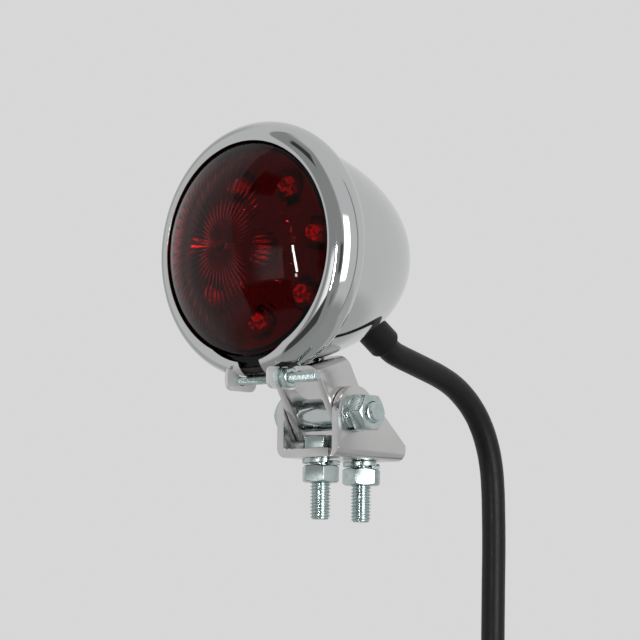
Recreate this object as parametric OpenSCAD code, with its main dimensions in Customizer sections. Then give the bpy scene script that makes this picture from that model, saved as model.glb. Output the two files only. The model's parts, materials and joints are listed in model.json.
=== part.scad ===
// Round LED tail light on a tilting bracket, with a split trim ring and a rubber-sleeved lead.
// Millimetres. +Z is up and the lens faces -Y. The origin is the middle of the underside of the
// lower bracket, halfway between the two mounting studs. Axial places on the lamp are distances
// ahead of the origin, so a place f lies at y = -f.

/* [Housing] */
// Height of the lamp axis above the mounting face
axis_z = 58.8; // [57.5:0.1:66]
// Radius of the dome at its widest
housing_r = 34; // [31:0.5:38]
// Half axis of the dome's ellipse, from its centre to the rear end
dome_len = 59.5; // [54:0.5:68]
// How far the dome's ellipse is centred ahead of the rim face
dome_lead = 6.5; // [4:0.5:9]
// Place of the rim face ahead of the origin
rim_f = 34.8; // [32:0.1:40]
// Wall of the spun shell
housing_wall = 1.2; // [0.8:0.1:1.8]
// How far the rim bead stands out from the dome
rim_out = 1.4; // [1:0.1:2]
// Width of the rim bead along the lamp axis
rim_w = 1.8; // [1.4:0.1:2.2]

/* [Trim ring] */
// Sheet of the trim ring
ring_wall = 1; // [0.8:0.1:1.2]
// How far the ring's crown stands out past the rim bead
ring_crown = 2.4; // [2.2:0.1:3.5]
// How far the front lip reaches in from the rim bead
lip_reach = 3.8; // [3.2:0.1:5]
// Free space between the ring and what it clamps
ring_room = 0.4; // [0.3:0.05:0.6]
// Width of the split at the lip
ring_gap = 8.2; // [7:0.2:10]
// Width between the two clamp ears
ear_gap = 15; // [14:0.2:17]
// Sheet of a clamp ear
ear_t = 1.1; // [1:0.1:1.6]
// Width of a clamp ear along the lamp axis
ear_w = 12.2; // [10:0.1:13]
// How far the clamp ears hang below the pinch screw
ear_drop = 3.2; // [2.8:0.1:4]
// How far the lip is cut back at the split
lip_cut = 1.7; // [0.8:0.1:2.2]

/* [Lens and LED unit] */
// Wall of the lens
lens_wall = 2.2; // [1.6:0.1:3]
// How far the lens bulges ahead of its edge
lens_sag = 13; // [9:0.5:16]
// Radial gap between the lens and the lip
lens_gap = 0.3; // [0.3:0.1:1]
// Thickness of the lens flange
lens_flange_t = 2.2; // [1.8:0.1:3]
// Thickness of the gasket
gasket_t = 2.4; // [1.6:0.1:3]
// Thickness of the reflector flange
reflector_flange_t = 1; // [0.8:0.1:1.6]
// Thickness of the reflector floor that holds the cups
reflector_floor_t = 4.6; // [4:0.1:6]
// Number of light-emitting diodes in the ring
led_count = 7; // [5:1:8]
// Radius of the ring of diodes
led_ring_r = 20.5; // [19:0.5:21]
// Diameter of a diode
led_d = 5; // [3:0.5:5]
// Mouth radius of a reflector cup
cup_r = 5.2; // [4.5:0.1:6]
// Thickness of the circuit board
board_t = 1.6; // [1:0.1:2]

/* [Brackets] */
// Sheet of both brackets
sheet = 2.5; // [1.8:0.1:2.6]
// Outer width of the lower bracket
lower_w = 24; // [23:0.5:30]
// Length of the lower bracket
lower_l = 30; // [29:0.5:36]
// Outer radius of the bends in both brackets
bend_r = 3.2; // [2.8:0.1:3.6]
// Height of the tilt pivot above the mounting face
pivot_z = 12.9; // [12.5:0.1:15]
// Radius of the round lobe on each cheek of the lower bracket
lobe_r = 8; // [7:0.1:9]
// Height of the cheeks at the rear end
cheek_rear_h = 4.5; // [3.6:0.1:6]
// Lean of the upper bracket's legs, forward from upright
leg_lean = 32; // [24:1:36]
// Width of a leg ahead of the pivot
leg_front = 6; // [5:0.1:7]
// Width of a leg behind the pivot, which is also the radius of its end
leg_rear = 7.8; // [7:0.1:8.5]
// Place where the upper bracket touches the dome, ahead of the origin
seat_f = 15; // [13:0.5:17]
// Spacing of the two screws that hold the upper bracket to the dome
seat_pitch = 9; // [8.6:0.1:9.4]
// Side play between the two brackets
side_play = 0.3; // [0.2:0.05:0.5]

/* [Fasteners] */
// Thread diameter of the studs and the pivot bolt
m6_d = 6; // [5:0.5:6]
// Width across flats of their hexagons
m6_flats = 10; // [9:0.5:10]
// Height of their heads
m6_head_h = 4; // [3:0.1:4.2]
// Height of their nuts
m6_nut_h = 5; // [4:0.1:5.5]
// Spacing of the two mounting studs
stud_pitch = 18; // [14:0.5:18]
// Length of a mounting stud below its head
stud_len = 20.5; // [18:0.5:30]
// Length of the pivot bolt below its head
pivot_len = 31; // [31:0.5:40]
// Outer diameter of the spacer tube on the pivot bolt
spacer_d = 9.6; // [9:0.1:10.5]
// Diameter of the pinch screw
pinch_d = 3; // [2.5:0.1:3.2]
// Length of the pinch screw below its head
pinch_len = 31.5; // [29:0.5:34]

/* [Lead] */
// Outer diameter of the lead's sleeve
sleeve_d = 7.2; // [6:0.1:8]
// Outer diameter of the rubber grommet
grommet_d = 9.8; // [9:0.1:11]
// Tilt of the grommet below level
grommet_tilt = 32; // [28:1:36]
// Diameter of one insulated wire
wire_d = 1.8; // [1.4:0.1:2.2]

/* [Hidden] */
$fn = 72;

// Fits
running_fit = 0.08;
bolt_fit = 0.2;
seat_gap = 0.2;
eps = 0.01;
through = 200;
dome_steps = 36;
ring_steps = 18;
lens_steps = 24;

// Dome and rim
dome_c = rim_f + dome_lead;
function dome_r(f) = housing_r * sqrt(1 - pow((dome_c - f) / dome_len, 2));
function dome_in_r(f) = (housing_r - housing_wall)
    * sqrt(1 - pow((dome_c - f) / (dome_len - housing_wall), 2));
rim_r = dome_r(rim_f) + rim_out;
rim_rear_f = rim_f - rim_w;

// Stack that the trim ring clamps, from the rim face forward
flange_inset = 1;
flange_r = rim_r - flange_inset;
gasket_f = rim_f + reflector_flange_t;
lens_f = gasket_f + gasket_t;
stack_f = lens_f + lens_flange_t;

// Section of the trim ring
ring_r = rim_r + ring_crown;
lip_r = rim_r - lip_reach;
crown_lead = 0.8;
crown_f = rim_f + crown_lead;
front_inner_r = ring_r - ring_wall - lip_r;
front_bulge = sqrt(1 - pow((flange_r - lip_r) / front_inner_r, 2));
ring_front = ring_wall + (stack_f + ring_room - crown_f) / front_bulge;
rear_r = dome_r(rim_rear_f) + ring_room;
rear_inner_r = ring_r - ring_wall - rear_r;
rear_bulge = sqrt(1 - pow((rim_r + ring_room - rear_r) / rear_inner_r, 2));
ring_rear = ring_wall + (rim_w + crown_lead + ring_room) / rear_bulge;
rear_start_a = 8;

// Clamp ears and pinch screw
pinch_head_r = 2.8;
pinch_head_h = 2.6;
pinch_washer_r = 3.4;
pinch_washer_t = 0.8;
pinch_nut_flats = 5.5;
pinch_nut_h = 2.7;
pinch_lead = 1.4;
pinch_f = crown_f + pinch_lead;
pinch_z = axis_z - ring_r;
ear_out = ear_gap / 2 + ear_t;
ear_round = 2.5;
ear_top_r = rim_r + ring_room;
notch_room = 2.4;
nut_notch_w = pinch_washer_t + pinch_nut_h + notch_room;
head_notch_w = pinch_head_h + ring_room;
lip_cut_half = 14;
lip_cut_deep = lip_r + lip_cut - sqrt(lip_r * lip_r - lip_cut_half * lip_cut_half);
lip_cut_r = (lip_cut_half * lip_cut_half + lip_cut_deep * lip_cut_deep) / (2 * lip_cut_deep);

// Lens
lens_r = lip_r - lens_gap;
lens_edge = 1.2;
lens_edge_f = stack_f + lens_edge;
lens_ball_r = (lens_r * lens_r + lens_sag * lens_sag) / (2 * lens_sag);
lens_ball_f = lens_edge_f + lens_sag - lens_ball_r;
lens_in_r = lens_r - lens_wall;

// Reflector, board and what is on the board
reflector_side = 1.4;
floor_drop = 0.6;
reflector_back_f = rim_f - reflector_floor_t - floor_drop;
reflector_mouth_r = lens_in_r;
cup_margin = 1;
reflector_floor_r = led_ring_r + cup_r + cup_margin;
reflector_back_r = reflector_floor_r + reflector_side;
board_f = reflector_back_f - board_t;
board_inset = 0.6;
board_r = reflector_back_r - board_inset;
led_play = 0.4;
led_body_h = 6.2;
led_phase = -92;
board_screw_count = 3;
board_screw_r = 1.25;
board_screw_ring_r = 11;
board_screw_head_r = 2.2;
board_screw_head_h = 1.6;
board_screw_grip = 3.4;
resistor_size = [2.6, 6.4, 1.4];
resistor_count = 4;
resistor_pitch = 11.4;
resistor_rise = 17;
terminal_size = [9, 5, 5];
terminal_drop = 4;
lead_straight = 5;

// Brackets
pivot_y = lobe_r - lower_l / 2;
upper_w = lower_w - 2 * sheet - 2 * side_play;
spacer_l = upper_w - 2 * sheet;
relief = 1.4;
seat_y = -seat_f;
seat_slope = housing_r * (dome_c - seat_f) / dome_len
    / sqrt(dome_len * dome_len - pow(dome_c - seat_f, 2));
seat_angle = atan(seat_slope);
seat_z = axis_z - dome_r(seat_f) - seat_gap;
// Slide along the plate from where it touches the dome to the middle of its length
plate_mid = (leg_rear - leg_front) / 2 - (seat_y - pivot_y) * cos(leg_lean)
    - (seat_z - pivot_z) * sin(leg_lean);
plate_slide = plate_mid / cos(leg_lean - seat_angle);

// Screws between the upper bracket and the dome
seat_screw_d = 4;
seat_head_r = 3.6;
seat_head_h = 1.9;
seat_nut_flats = 7;
seat_nut_h = 3.2;
seat_nut_room = 0.75;
seat_screw_over = 1;
seat_nut_lift = seat_gap + housing_wall + seat_nut_room;
seat_screw_len = sheet + seat_nut_lift + seat_nut_h + seat_screw_over;

// Washers and chamfers of the larger fasteners
spring_w = 2.3;
spring_in_r = m6_d / 2 + bolt_fit;
spring_out_r = spring_in_r + spring_w;
spring_t = 1.4;
spring_rise = 0.8;
spring_slot = 1.2;
spring_steps = 34;
spring_turn = 340;
spring_split_a = 150;
stud_over = 0.3;
stud_grip = sheet + spring_t + spring_rise + m6_nut_h + stud_over;
thread_cut = 0.2;
tip_chamfer = 0.8;
head_taper = 0.7;
nut_turn = [-10, 25];

// Lead: where it leaves the grommet, and its route, as [y, z] in the plane x = 0
route = [[19, 35.5], [22.2, 33.5], [26, 32.3], [32, 30.8], [38, 29.3], [44, 27.7], [50, 25.5],
    [55, 22.7], [60, 18.7], [64, 13.9], [67, 8.3], [69, 2.1], [70, -4.5], [70.5, -12.5],
    [70.8, -22.5], [70.8, -33.5], [70.8, -45.5], [70.8, -57.5]];
route_end = route[len(route) - 1];
sleeve_sides = 10;
wire_sides = 8;
wire_spread = 2.2;
wire_len = 22;
tip_len = 7;
insulation = 0.3;
tip_d = wire_d - 2 * insulation;
neck_inset = 0.1;
neck_d = sleeve_d - 2 * neck_inset;
collar_t = 2;
collar_set = 2.2;
exit_y = route[0][0];
exit_z = route[0][1];
// Distance back along the grommet from the exit to an ellipse of half axes a (along) and b (across)
function exit_run(a, b) =
    let (p = exit_y + dome_c, q = axis_z - exit_z, c = cos(grommet_tilt), s = sin(grommet_tilt),
        k2 = c * c / (a * a) + s * s / (b * b), k1 = p * c / (a * a) + q * s / (b * b),
        k0 = p * p / (a * a) + q * q / (b * b) - 1)
    (k1 - sqrt(k1 * k1 - k2 * k0)) / k2;
run_out = exit_run(dome_len, housing_r);
run_in = exit_run(dome_len - housing_wall, housing_r - housing_wall);
collar_run = run_in + collar_set;
lead_run = collar_run + collar_t;

// Points along an ellipse arc of half axes a and b about c
function arc_points(c, a, b, from, to, steps) =
    [for (i = [0 : steps]) let (t = from + (to - from) * i / steps)
        [c[0] + a * cos(t), c[1] + b * sin(t)]];
dome_points = arc_points([0, dome_c], housing_r, -dome_len, asin((dome_lead + rim_w) / dome_len), 90,
    dome_steps);

// Places
module on_axis() { translate([0, 0, axis_z]) rotate([90, 0, 0]) children(); }
module on_seat() { translate([0, seat_y, seat_z]) rotate([seat_angle, 0, 0]) children(); }
module on_pivot() { translate([0, pivot_y, pivot_z]) rotate([0, 90, 0]) children(); }
module on_pinch() { translate([0, -pinch_f, pinch_z]) rotate([0, 90, 0]) children(); }
module on_exit() { translate([0, exit_y, exit_z]) rotate([90 - grommet_tilt, 0, 0]) children(); }
module at_studs() {
    for (i = [0, 1]) translate([0, (i - 0.5) * stud_pitch, 0]) rotate(nut_turn[i]) children();
}
module at_stud_axes() { for (s = [-0.5, 0.5]) translate([0, s * stud_pitch, 0]) children(); }
module at_seat_screws() {
    on_seat() for (s = [-0.5, 0.5]) translate([0, plate_slide + s * seat_pitch, 0]) children();
}
module at_board_screws() {
    on_axis() for (i = [0 : board_screw_count - 1])
        rotate(90 + i * 360 / board_screw_count) translate([board_screw_ring_r, 0, 0]) children();
}
module at_leds() {
    on_axis() children();
    on_axis() for (i = [0 : led_count - 1])
        rotate(led_phase + i * 360 / led_count) translate([led_ring_r, 0, 0]) children();
}

// Solid of revolution about the lamp axis from [radius, place] points
module lamp_turned(points) { on_axis() rotate_extrude($fn = 96) polygon(points); }

// Plate cut to an outline that is drawn in Y and Z, spread along X
module side_prism(w) { rotate([90, 0, 90]) linear_extrude(height = w, center = true) children(); }

// Hexagon prism from z = 0 up, with its flats facing the X axis
module hexagon(flats, h) { rotate(30) cylinder(d = flats / cos(30), h = h, $fn = 6); }

// Section of a bent sheet: a flat top of width w at y = 0 with round shoulders and sides down to -depth
module shoulders(w, r, depth) {
    translate([-w / 2, -depth]) square([w, depth - r]);
    translate([-w / 2 + r, -depth]) square([w - 2 * r, depth]);
    for (s = [-1, 1]) translate([s * (w / 2 - r), -r]) circle(r);
}
module bent_section(w, depth) {
    difference() {
        shoulders(w, bend_r, depth);
        translate([0, -sheet]) shoulders(w - 2 * sheet, bend_r - sheet, depth);
    }
}

// Shank with a chamfered tip, from z = 0 down to -len
module shank(d, len) {
    translate([0, 0, tip_chamfer - len]) cylinder(d = d, h = len - tip_chamfer);
    translate([0, 0, -len]) cylinder(d1 = d - 2 * tip_chamfer, d2 = d, h = tip_chamfer);
}

// Low round head of radius r and height h, from z = 0 up
module pan_head(r, h) {
    cylinder(r = r, h = h / 2);
    translate([0, 0, h / 2]) cylinder(r1 = r, r2 = r * head_taper, h = h / 2);
}

// Nut with a clear bore, from z = 0 up
module hex_nut(flats, h, bore_d) {
    difference() {
        hexagon(flats, h);
        translate([0, 0, -eps]) cylinder(d = bore_d, h = h + 2 * eps);
    }
}

// Ring that rises along a helix, open at its split, from z = 0 up
module helical_washer() {
    corners = [[spring_in_r, 0], [spring_out_r, 0], [spring_out_r, spring_t], [spring_in_r, spring_t]];
    points = [for (i = [0 : spring_steps]) let (a = spring_turn * i / spring_steps) for (c = corners)
        [c[0] * cos(a), c[0] * sin(a), c[1] + spring_rise * i / spring_steps]];
    sides = [for (i = [0 : spring_steps - 1]) for (k = [0 : 3])
        let (a = 4 * i + k, b = 4 * i + (k + 1) % 4) each [[a, a + 4, b], [b, a + 4, b + 4]]];
    last = 4 * spring_steps;
    caps = [[0, 1, 2], [0, 2, 3], [last, last + 2, last + 1], [last, last + 3, last + 2]];
    polyhedron(points, concat(sides, caps));
}

// Tube of diameter d along [y, z] points in the plane x = at
module swept_tube(path, d, sides, at) {
    count = len(path);
    function unit(v) = v / norm(v);
    function heading(i) = i == 0 ? unit(path[1] - path[0])
        : i == count - 1 ? unit(path[i] - path[i - 1])
        : unit(unit(path[i + 1] - path[i]) + unit(path[i] - path[i - 1]));
    points = [for (i = [0 : count - 1]) let (t = heading(i)) for (k = [0 : sides - 1])
        let (a = 360 * k / sides, u = d / 2 * cos(a), v = d / 2 * sin(a))
        [at + u, path[i][0] - v * t[1], path[i][1] + v * t[0]]];
    walls = [for (i = [0 : count - 2]) for (k = [0 : sides - 1])
        let (a = sides * i + k, b = sides * i + (k + 1) % sides)
        each [[a, b, a + sides], [b, b + sides, a + sides]]];
    caps = [[for (k = [sides - 1 : -1 : 0]) k], [for (k = [0 : sides - 1]) sides * (count - 1) + k]];
    polyhedron(points, concat(walls, caps));
}

// Lower bracket: a base and two cheeks of one bent sheet
module cheek_outline() {
    rear_y = lower_l / 2;
    reach = [rear_y - pivot_y, cheek_rear_h - pivot_z];
    lobe_a = atan2(reach[1], reach[0]) + acos(lobe_r / norm(reach));
    translate([pivot_y, pivot_z]) circle(lobe_r);
    polygon([[-rear_y, 0], [rear_y, 0], [rear_y, cheek_rear_h],
        [pivot_y + lobe_r * cos(lobe_a), pivot_z + lobe_r * sin(lobe_a)],
        [pivot_y, pivot_z], [-rear_y, pivot_z]]);
}
module lower_bracket() {
    color("silver") difference() {
        intersection() {
            rotate([-90, 0, 0]) linear_extrude(height = 2 * lower_l, center = true)
                bent_section(lower_w, pivot_z + 2 * lobe_r);
            side_prism(2 * lower_w) cheek_outline();
        }
        on_pivot() cylinder(d = m6_d + 2 * bolt_fit, h = through, center = true);
        at_stud_axes() cylinder(d = m6_d + 2 * bolt_fit, h = 3 * sheet, center = true);
        translate([lower_w / 2 - sheet - relief / 2, -lower_l / 2, sheet])
            cube([relief, 2 * relief, 3 * sheet], center = true);
    }
}

// Two hexagon bolts through the base, heads inside the bracket; full size down to just below
// the nut, then the free thread at a size between its crest and its root
module mounting_bolts() {
    color("lightsteelblue") at_stud_axes() translate([0, 0, sheet]) {
        hexagon(m6_flats, m6_head_h);
        translate([0, 0, -stud_grip]) cylinder(d = m6_d, h = stud_grip + eps);
        translate([0, 0, eps]) shank(m6_d - 2 * thread_cut, stud_len + eps);
    }
}
module mounting_spring_washers() {
    color("lightsteelblue") at_studs() translate([0, 0, -spring_t - spring_rise]) helical_washer();
}
module mounting_nuts() {
    color("lightsteelblue") at_studs() translate([0, 0, -spring_t - spring_rise - m6_nut_h])
        hex_nut(m6_flats, m6_nut_h, m6_d + 2 * running_fit);
}

// Pivot bolt across both brackets, its nut and its split washer
module pivot_bolt() {
    color("lightsteelblue") on_pivot() translate([0, 0, -lower_w / 2]) rotate([180, 0, 0]) {
        hexagon(m6_flats, m6_head_h);
        translate([0, 0, eps]) shank(m6_d, pivot_len + eps);
    }
}
module pivot_spring_washer() {
    color("lightsteelblue") on_pivot() translate([0, 0, lower_w / 2]) difference() {
        cylinder(r = spring_out_r, h = spring_t);
        translate([0, 0, -eps]) cylinder(r = spring_in_r, h = spring_t + 2 * eps);
        rotate(spring_split_a) translate([0, -spring_slot / 2, -eps])
            cube([2 * spring_out_r, spring_slot, 2 * spring_t]);
    }
}
module pivot_nut() {
    color("lightsteelblue") on_pivot() translate([0, 0, lower_w / 2 + spring_t])
        hex_nut(m6_flats, m6_nut_h, m6_d + 2 * running_fit);
}
module pivot_spacer() {
    color("gainsboro") on_pivot() difference() {
        cylinder(d = spacer_d, h = spacer_l, center = true);
        cylinder(d = m6_d + 2 * running_fit, h = through, center = true);
    }
}

// Upper bracket: a top plate against the dome and two legs that lean forward
module leg_outline() {
    translate([pivot_y, pivot_z]) rotate(leg_lean) {
        translate([-leg_front, 0]) square([leg_front + leg_rear, axis_z]);
        difference() {
            circle(leg_rear);
            translate([-2 * leg_rear - leg_front, -2 * leg_rear]) square([2 * leg_rear, 4 * leg_rear]);
        }
    }
}
module upper_bracket() {
    color("silver") difference() {
        intersection() {
            on_seat() rotate([90, 0, 0]) linear_extrude(height = 2 * axis_z, center = true)
                bent_section(upper_w, axis_z);
            side_prism(2 * lower_w) leg_outline();
        }
        on_pivot() cylinder(d = m6_d + 2 * running_fit, h = through, center = true);
        at_seat_screws() cylinder(d = seat_screw_d + 2 * bolt_fit, h = 3 * sheet, center = true);
    }
}
module bracket_screws() {
    color("lightsteelblue") at_seat_screws() translate([0, 0, -sheet]) rotate([180, 0, 0]) {
        pan_head(seat_head_r, seat_head_h);
        translate([0, 0, eps]) shank(seat_screw_d, seat_screw_len + eps);
    }
}
module bracket_nuts() {
    color("lightsteelblue") at_seat_screws() translate([0, 0, seat_nut_lift])
        hex_nut(seat_nut_flats, seat_nut_h, seat_screw_d + 2 * running_fit);
}

// Housing: a spun dome with a rim bead, holes for the bracket screws and for the grommet
module dome_envelope() {
    lamp_turned(concat([[0, rim_rear_f]], dome_points));
}
module housing() {
    inner_a = housing_r - housing_wall;
    inner_b = dome_len - housing_wall;
    inner = arc_points([0, dome_c], inner_a, -inner_b, 90, asin(dome_lead / inner_b), dome_steps);
    color("gainsboro") difference() {
        lamp_turned(concat([[rim_r, rim_f], [rim_r, rim_rear_f]], dome_points, inner));
        at_seat_screws()
            cylinder(d = seat_screw_d + 2 * bolt_fit, h = 4 * seat_nut_lift, center = true);
        on_exit() cylinder(d = neck_d + 2 * running_fit, h = collar_run);
    }
}

// Trim ring: a half-round channel, split below, with two ears that the pinch screw draws together
module ear_plate() {
    front = pinch_f + ear_w / 2;
    translate([ear_gap / 2, 0, 0]) rotate([90, 0, 90]) linear_extrude(height = ear_t) {
        translate([-front, pinch_z - ear_drop + ear_round]) square([ear_w, ear_drop + lip_reach]);
        translate([ear_round - front, pinch_z - ear_drop]) square([ear_w - 2 * ear_round, ear_drop]);
        for (y = [ear_round - front, ear_w - ear_round - front])
            translate([y, pinch_z - ear_drop + ear_round]) circle(ear_round);
    }
}
module split_outline() {
    translate([-ring_gap / 2, pinch_z - 2 * ear_drop]) square([ring_gap, ring_r]);
}
module notch(w, lead) {
    translate([ear_out, -pinch_f - lead, pinch_z - lip_reach]) cube([w, through, 2 * lip_reach]);
}
module trim_ring() {
    outer_front = arc_points([lip_r, crown_f], ring_r - lip_r, ring_front, 90, 0, ring_steps);
    outer_rear = arc_points([rear_r, crown_f], ring_r - rear_r, -ring_rear, rear_start_a, 90, ring_steps);
    inner_rear = arc_points([rear_r, crown_f], rear_inner_r, ring_wall - ring_rear, 90, rear_start_a,
        ring_steps);
    inner_front = arc_points([lip_r, crown_f], front_inner_r, ring_front - ring_wall, 0, 90, ring_steps);
    color("gainsboro") difference() {
        union() {
            difference() {
                lamp_turned(concat(outer_front, outer_rear, inner_rear, inner_front));
                rotate([90, 0, 0]) linear_extrude(height = through, center = true) split_outline();
                on_axis() translate([0, lip_cut_r - lip_r - lip_cut, crown_f])
                    cylinder(r = lip_cut_r, h = through);
                notch(nut_notch_w, pinch_washer_r + ring_room);
                mirror([1, 0, 0]) notch(head_notch_w, pinch_head_r + ring_room);
            }
            for (s = [0, 1]) mirror([s, 0, 0]) difference() {
                ear_plate();
                on_axis() cylinder(r = ear_top_r, h = through, center = true);
            }
        }
        on_pinch() cylinder(d = pinch_d + 2 * bolt_fit, h = 4 * ear_out, center = true);
    }
}
module pinch_screw() {
    color("lightsteelblue") on_pinch() translate([0, 0, -ear_out]) rotate([180, 0, 0]) {
        pan_head(pinch_head_r, pinch_head_h);
        translate([0, 0, eps]) shank(pinch_d, pinch_len + eps);
    }
}
module pinch_washer() {
    color("lightsteelblue") on_pinch() translate([0, 0, ear_out]) difference() {
        cylinder(r = pinch_washer_r, h = pinch_washer_t);
        translate([0, 0, -eps]) cylinder(d = pinch_d + 2 * bolt_fit, h = pinch_washer_t + 2 * eps);
    }
}
module pinch_nut() {
    color("lightsteelblue") on_pinch() translate([0, 0, ear_out + pinch_washer_t])
        hex_nut(pinch_nut_flats, pinch_nut_h, pinch_d + 2 * running_fit);
}

// Lens: a domed cap with a flat flange
module lens() {
    cap_a = asin(lens_r / lens_ball_r);
    cap_in_r = lens_ball_r - lens_wall;
    cap_in_a = asin(lens_in_r / cap_in_r);
    outer = arc_points([0, lens_ball_f], lens_ball_r, lens_ball_r, 90, 90 - cap_a, lens_steps);
    inner = arc_points([0, lens_ball_f], cap_in_r, cap_in_r, 90 - cap_in_a, 90, lens_steps);
    color("#5a1414") lamp_turned(concat(outer, [[lens_r, stack_f], [flange_r, stack_f],
        [flange_r, lens_f], [lens_in_r, lens_f]], inner));
}
module lens_gasket() {
    color("#1c1c1c") on_axis() translate([0, 0, gasket_f]) difference() {
        cylinder(r = flange_r, h = gasket_t);
        translate([0, 0, -eps]) cylinder(r = reflector_mouth_r, h = gasket_t + 2 * eps);
    }
}

// Reflector: a dish with one conical cup for each diode
module reflector() {
    floor_f = reflector_back_f + reflector_floor_t;
    color("lightgray") difference() {
        lamp_turned([[flange_r, gasket_f], [flange_r, rim_f],
            [reflector_mouth_r + reflector_side, rim_f], [reflector_back_r, reflector_back_f],
            [0, reflector_back_f], [0, floor_f], [reflector_floor_r, floor_f],
            [reflector_mouth_r, gasket_f]]);
        at_leds() translate([0, 0, reflector_back_f - eps])
            cylinder(r1 = led_d / 2 + led_play, r2 = cup_r, h = reflector_floor_t + 2 * eps);
        at_board_screws() translate([0, 0, reflector_back_f - eps])
            cylinder(r = board_screw_r + running_fit, h = board_screw_grip + ring_room);
    }
}
module led_board() {
    color("darkgreen") difference() {
        on_axis() translate([0, 0, board_f]) cylinder(r = board_r, h = board_t);
        at_board_screws() translate([0, 0, board_f - eps])
            cylinder(r = board_screw_r + bolt_fit, h = board_t + 2 * eps);
    }
}
module leds() {
    color("#c02020") at_leds() translate([0, 0, reflector_back_f]) {
        cylinder(d = led_d, h = led_body_h);
        translate([0, 0, led_body_h]) intersection() {
            sphere(d = led_d);
            cylinder(d = 2 * led_d, h = led_d);
        }
    }
}
module board_screws() {
    color("lightsteelblue") at_board_screws() translate([0, 0, board_f]) rotate([180, 0, 0]) {
        pan_head(board_screw_head_r, board_screw_head_h);
        translate([0, 0, eps - board_t - board_screw_grip])
            cylinder(r = board_screw_r, h = board_t + board_screw_grip);
    }
}
module board_resistors() {
    middle = (resistor_count - 1) / 2;
    color("#303030") on_axis() for (i = [0 : resistor_count - 1])
        translate([(i - middle) * resistor_pitch, resistor_rise, board_f - resistor_size[2] / 2])
            cube(resistor_size, center = true);
}
module lead_terminal() {
    color("ivory") on_axis() translate([0, -terminal_drop, board_f - terminal_size[2] / 2])
        cube(terminal_size, center = true);
}

// Three wires inside the housing, from the terminal to the grommet
module inner_leads() {
    start = [terminal_size[2] - board_f, axis_z - terminal_drop];
    back = [-cos(grommet_tilt), sin(grommet_tilt)];
    finish = [exit_y, exit_z] + lead_run * back;
    path = [start, start + [lead_straight, 0], finish + lead_straight * back, finish];
    color("#7a1a1a") for (s = [-1, 0, 1]) swept_tube(path, wire_d, wire_sides, s * wire_spread);
}

// Grommet: a round boss that follows the dome, a neck through the wall and a collar inside
module cable_grommet() {
    color("#1c1c1c") {
        difference() {
            on_exit() cylinder(d = grommet_d, h = run_out + grommet_d);
            dome_envelope();
        }
        on_exit() cylinder(d = neck_d, h = collar_run + collar_t);
        on_exit() translate([0, 0, collar_run]) cylinder(d = grommet_d, h = collar_t);
    }
}

// Lead: the sleeve along its route, and the three wires that come out of its end
module cable_sleeve() { color("#202020") swept_tube(route, sleeve_d, sleeve_sides, 0); }
module wire_end(i) {
    a = 90 + 120 * i;
    translate([wire_spread * cos(a), route_end[0] + wire_spread * sin(a), route_end[1] - wire_len])
        children();
}
module free_wire(i) { wire_end(i) cylinder(d = wire_d, h = wire_len); }
module wire_tail() { color("#c8a020") free_wire(0); }
module wire_brake() { color("#b02020") free_wire(1); }
module wire_earth() { color("#101010") free_wire(2); }
module wire_tips() {
    color("silver") for (i = [0 : 2]) wire_end(i) translate([0, 0, -tip_len])
        cylinder(d = tip_d, h = tip_len);
}

lower_bracket();
mounting_bolts();
mounting_spring_washers();
mounting_nuts();
pivot_bolt();
pivot_spring_washer();
pivot_nut();
pivot_spacer();
upper_bracket();
bracket_screws();
bracket_nuts();
housing();
trim_ring();
pinch_screw();
pinch_washer();
pinch_nut();
lens();
lens_gasket();
reflector();
led_board();
leds();
board_screws();
board_resistors();
lead_terminal();
inner_leads();
cable_grommet();
cable_sleeve();
wire_tail();
wire_brake();
wire_earth();
wire_tips();
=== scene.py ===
"""Round chrome motorcycle tail light on a tilting bracket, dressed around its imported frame.

Sizes are in millimetres and turn into metres where a mesh is made. The lamp's axis runs along -Y
at the height AXIS_Z, and a place along it, counted forwards from the origin, is called f. Points of
a mesh that lie nearer to each other than WELD, in metres, are merged.
"""
import json
import logging
import math
from dataclasses import dataclass
from enum import Enum
from typing import Any, Sequence

import bpy
from mathutils import Matrix, Vector

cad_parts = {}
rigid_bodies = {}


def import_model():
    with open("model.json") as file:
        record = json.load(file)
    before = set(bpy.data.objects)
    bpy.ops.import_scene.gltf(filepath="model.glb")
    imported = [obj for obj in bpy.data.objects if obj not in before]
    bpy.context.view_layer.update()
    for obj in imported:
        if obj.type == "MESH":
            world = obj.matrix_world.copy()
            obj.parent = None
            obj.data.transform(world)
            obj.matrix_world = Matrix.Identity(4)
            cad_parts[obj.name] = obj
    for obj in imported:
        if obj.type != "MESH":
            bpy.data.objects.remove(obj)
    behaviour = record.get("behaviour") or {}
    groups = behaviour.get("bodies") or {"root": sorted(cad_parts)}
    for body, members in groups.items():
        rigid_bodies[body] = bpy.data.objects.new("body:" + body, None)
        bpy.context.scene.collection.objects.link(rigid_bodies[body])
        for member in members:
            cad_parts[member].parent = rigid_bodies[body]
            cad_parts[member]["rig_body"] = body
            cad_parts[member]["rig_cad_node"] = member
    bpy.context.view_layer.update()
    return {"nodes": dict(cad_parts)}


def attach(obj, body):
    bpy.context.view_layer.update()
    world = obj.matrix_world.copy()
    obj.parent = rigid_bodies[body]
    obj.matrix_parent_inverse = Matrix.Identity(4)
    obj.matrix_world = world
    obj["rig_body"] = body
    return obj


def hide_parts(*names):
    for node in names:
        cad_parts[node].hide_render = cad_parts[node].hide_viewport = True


LOG = logging.getLogger("tail_light")
MM = 0.001
AXIS_Z = 58.8
WELD = 1e-6

Point = tuple[float, float]
Place = tuple[float, float, float]
Thing = bpy.types.Object
Tree = bpy.types.NodeTree
Socket = bpy.types.NodeSocket

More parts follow.
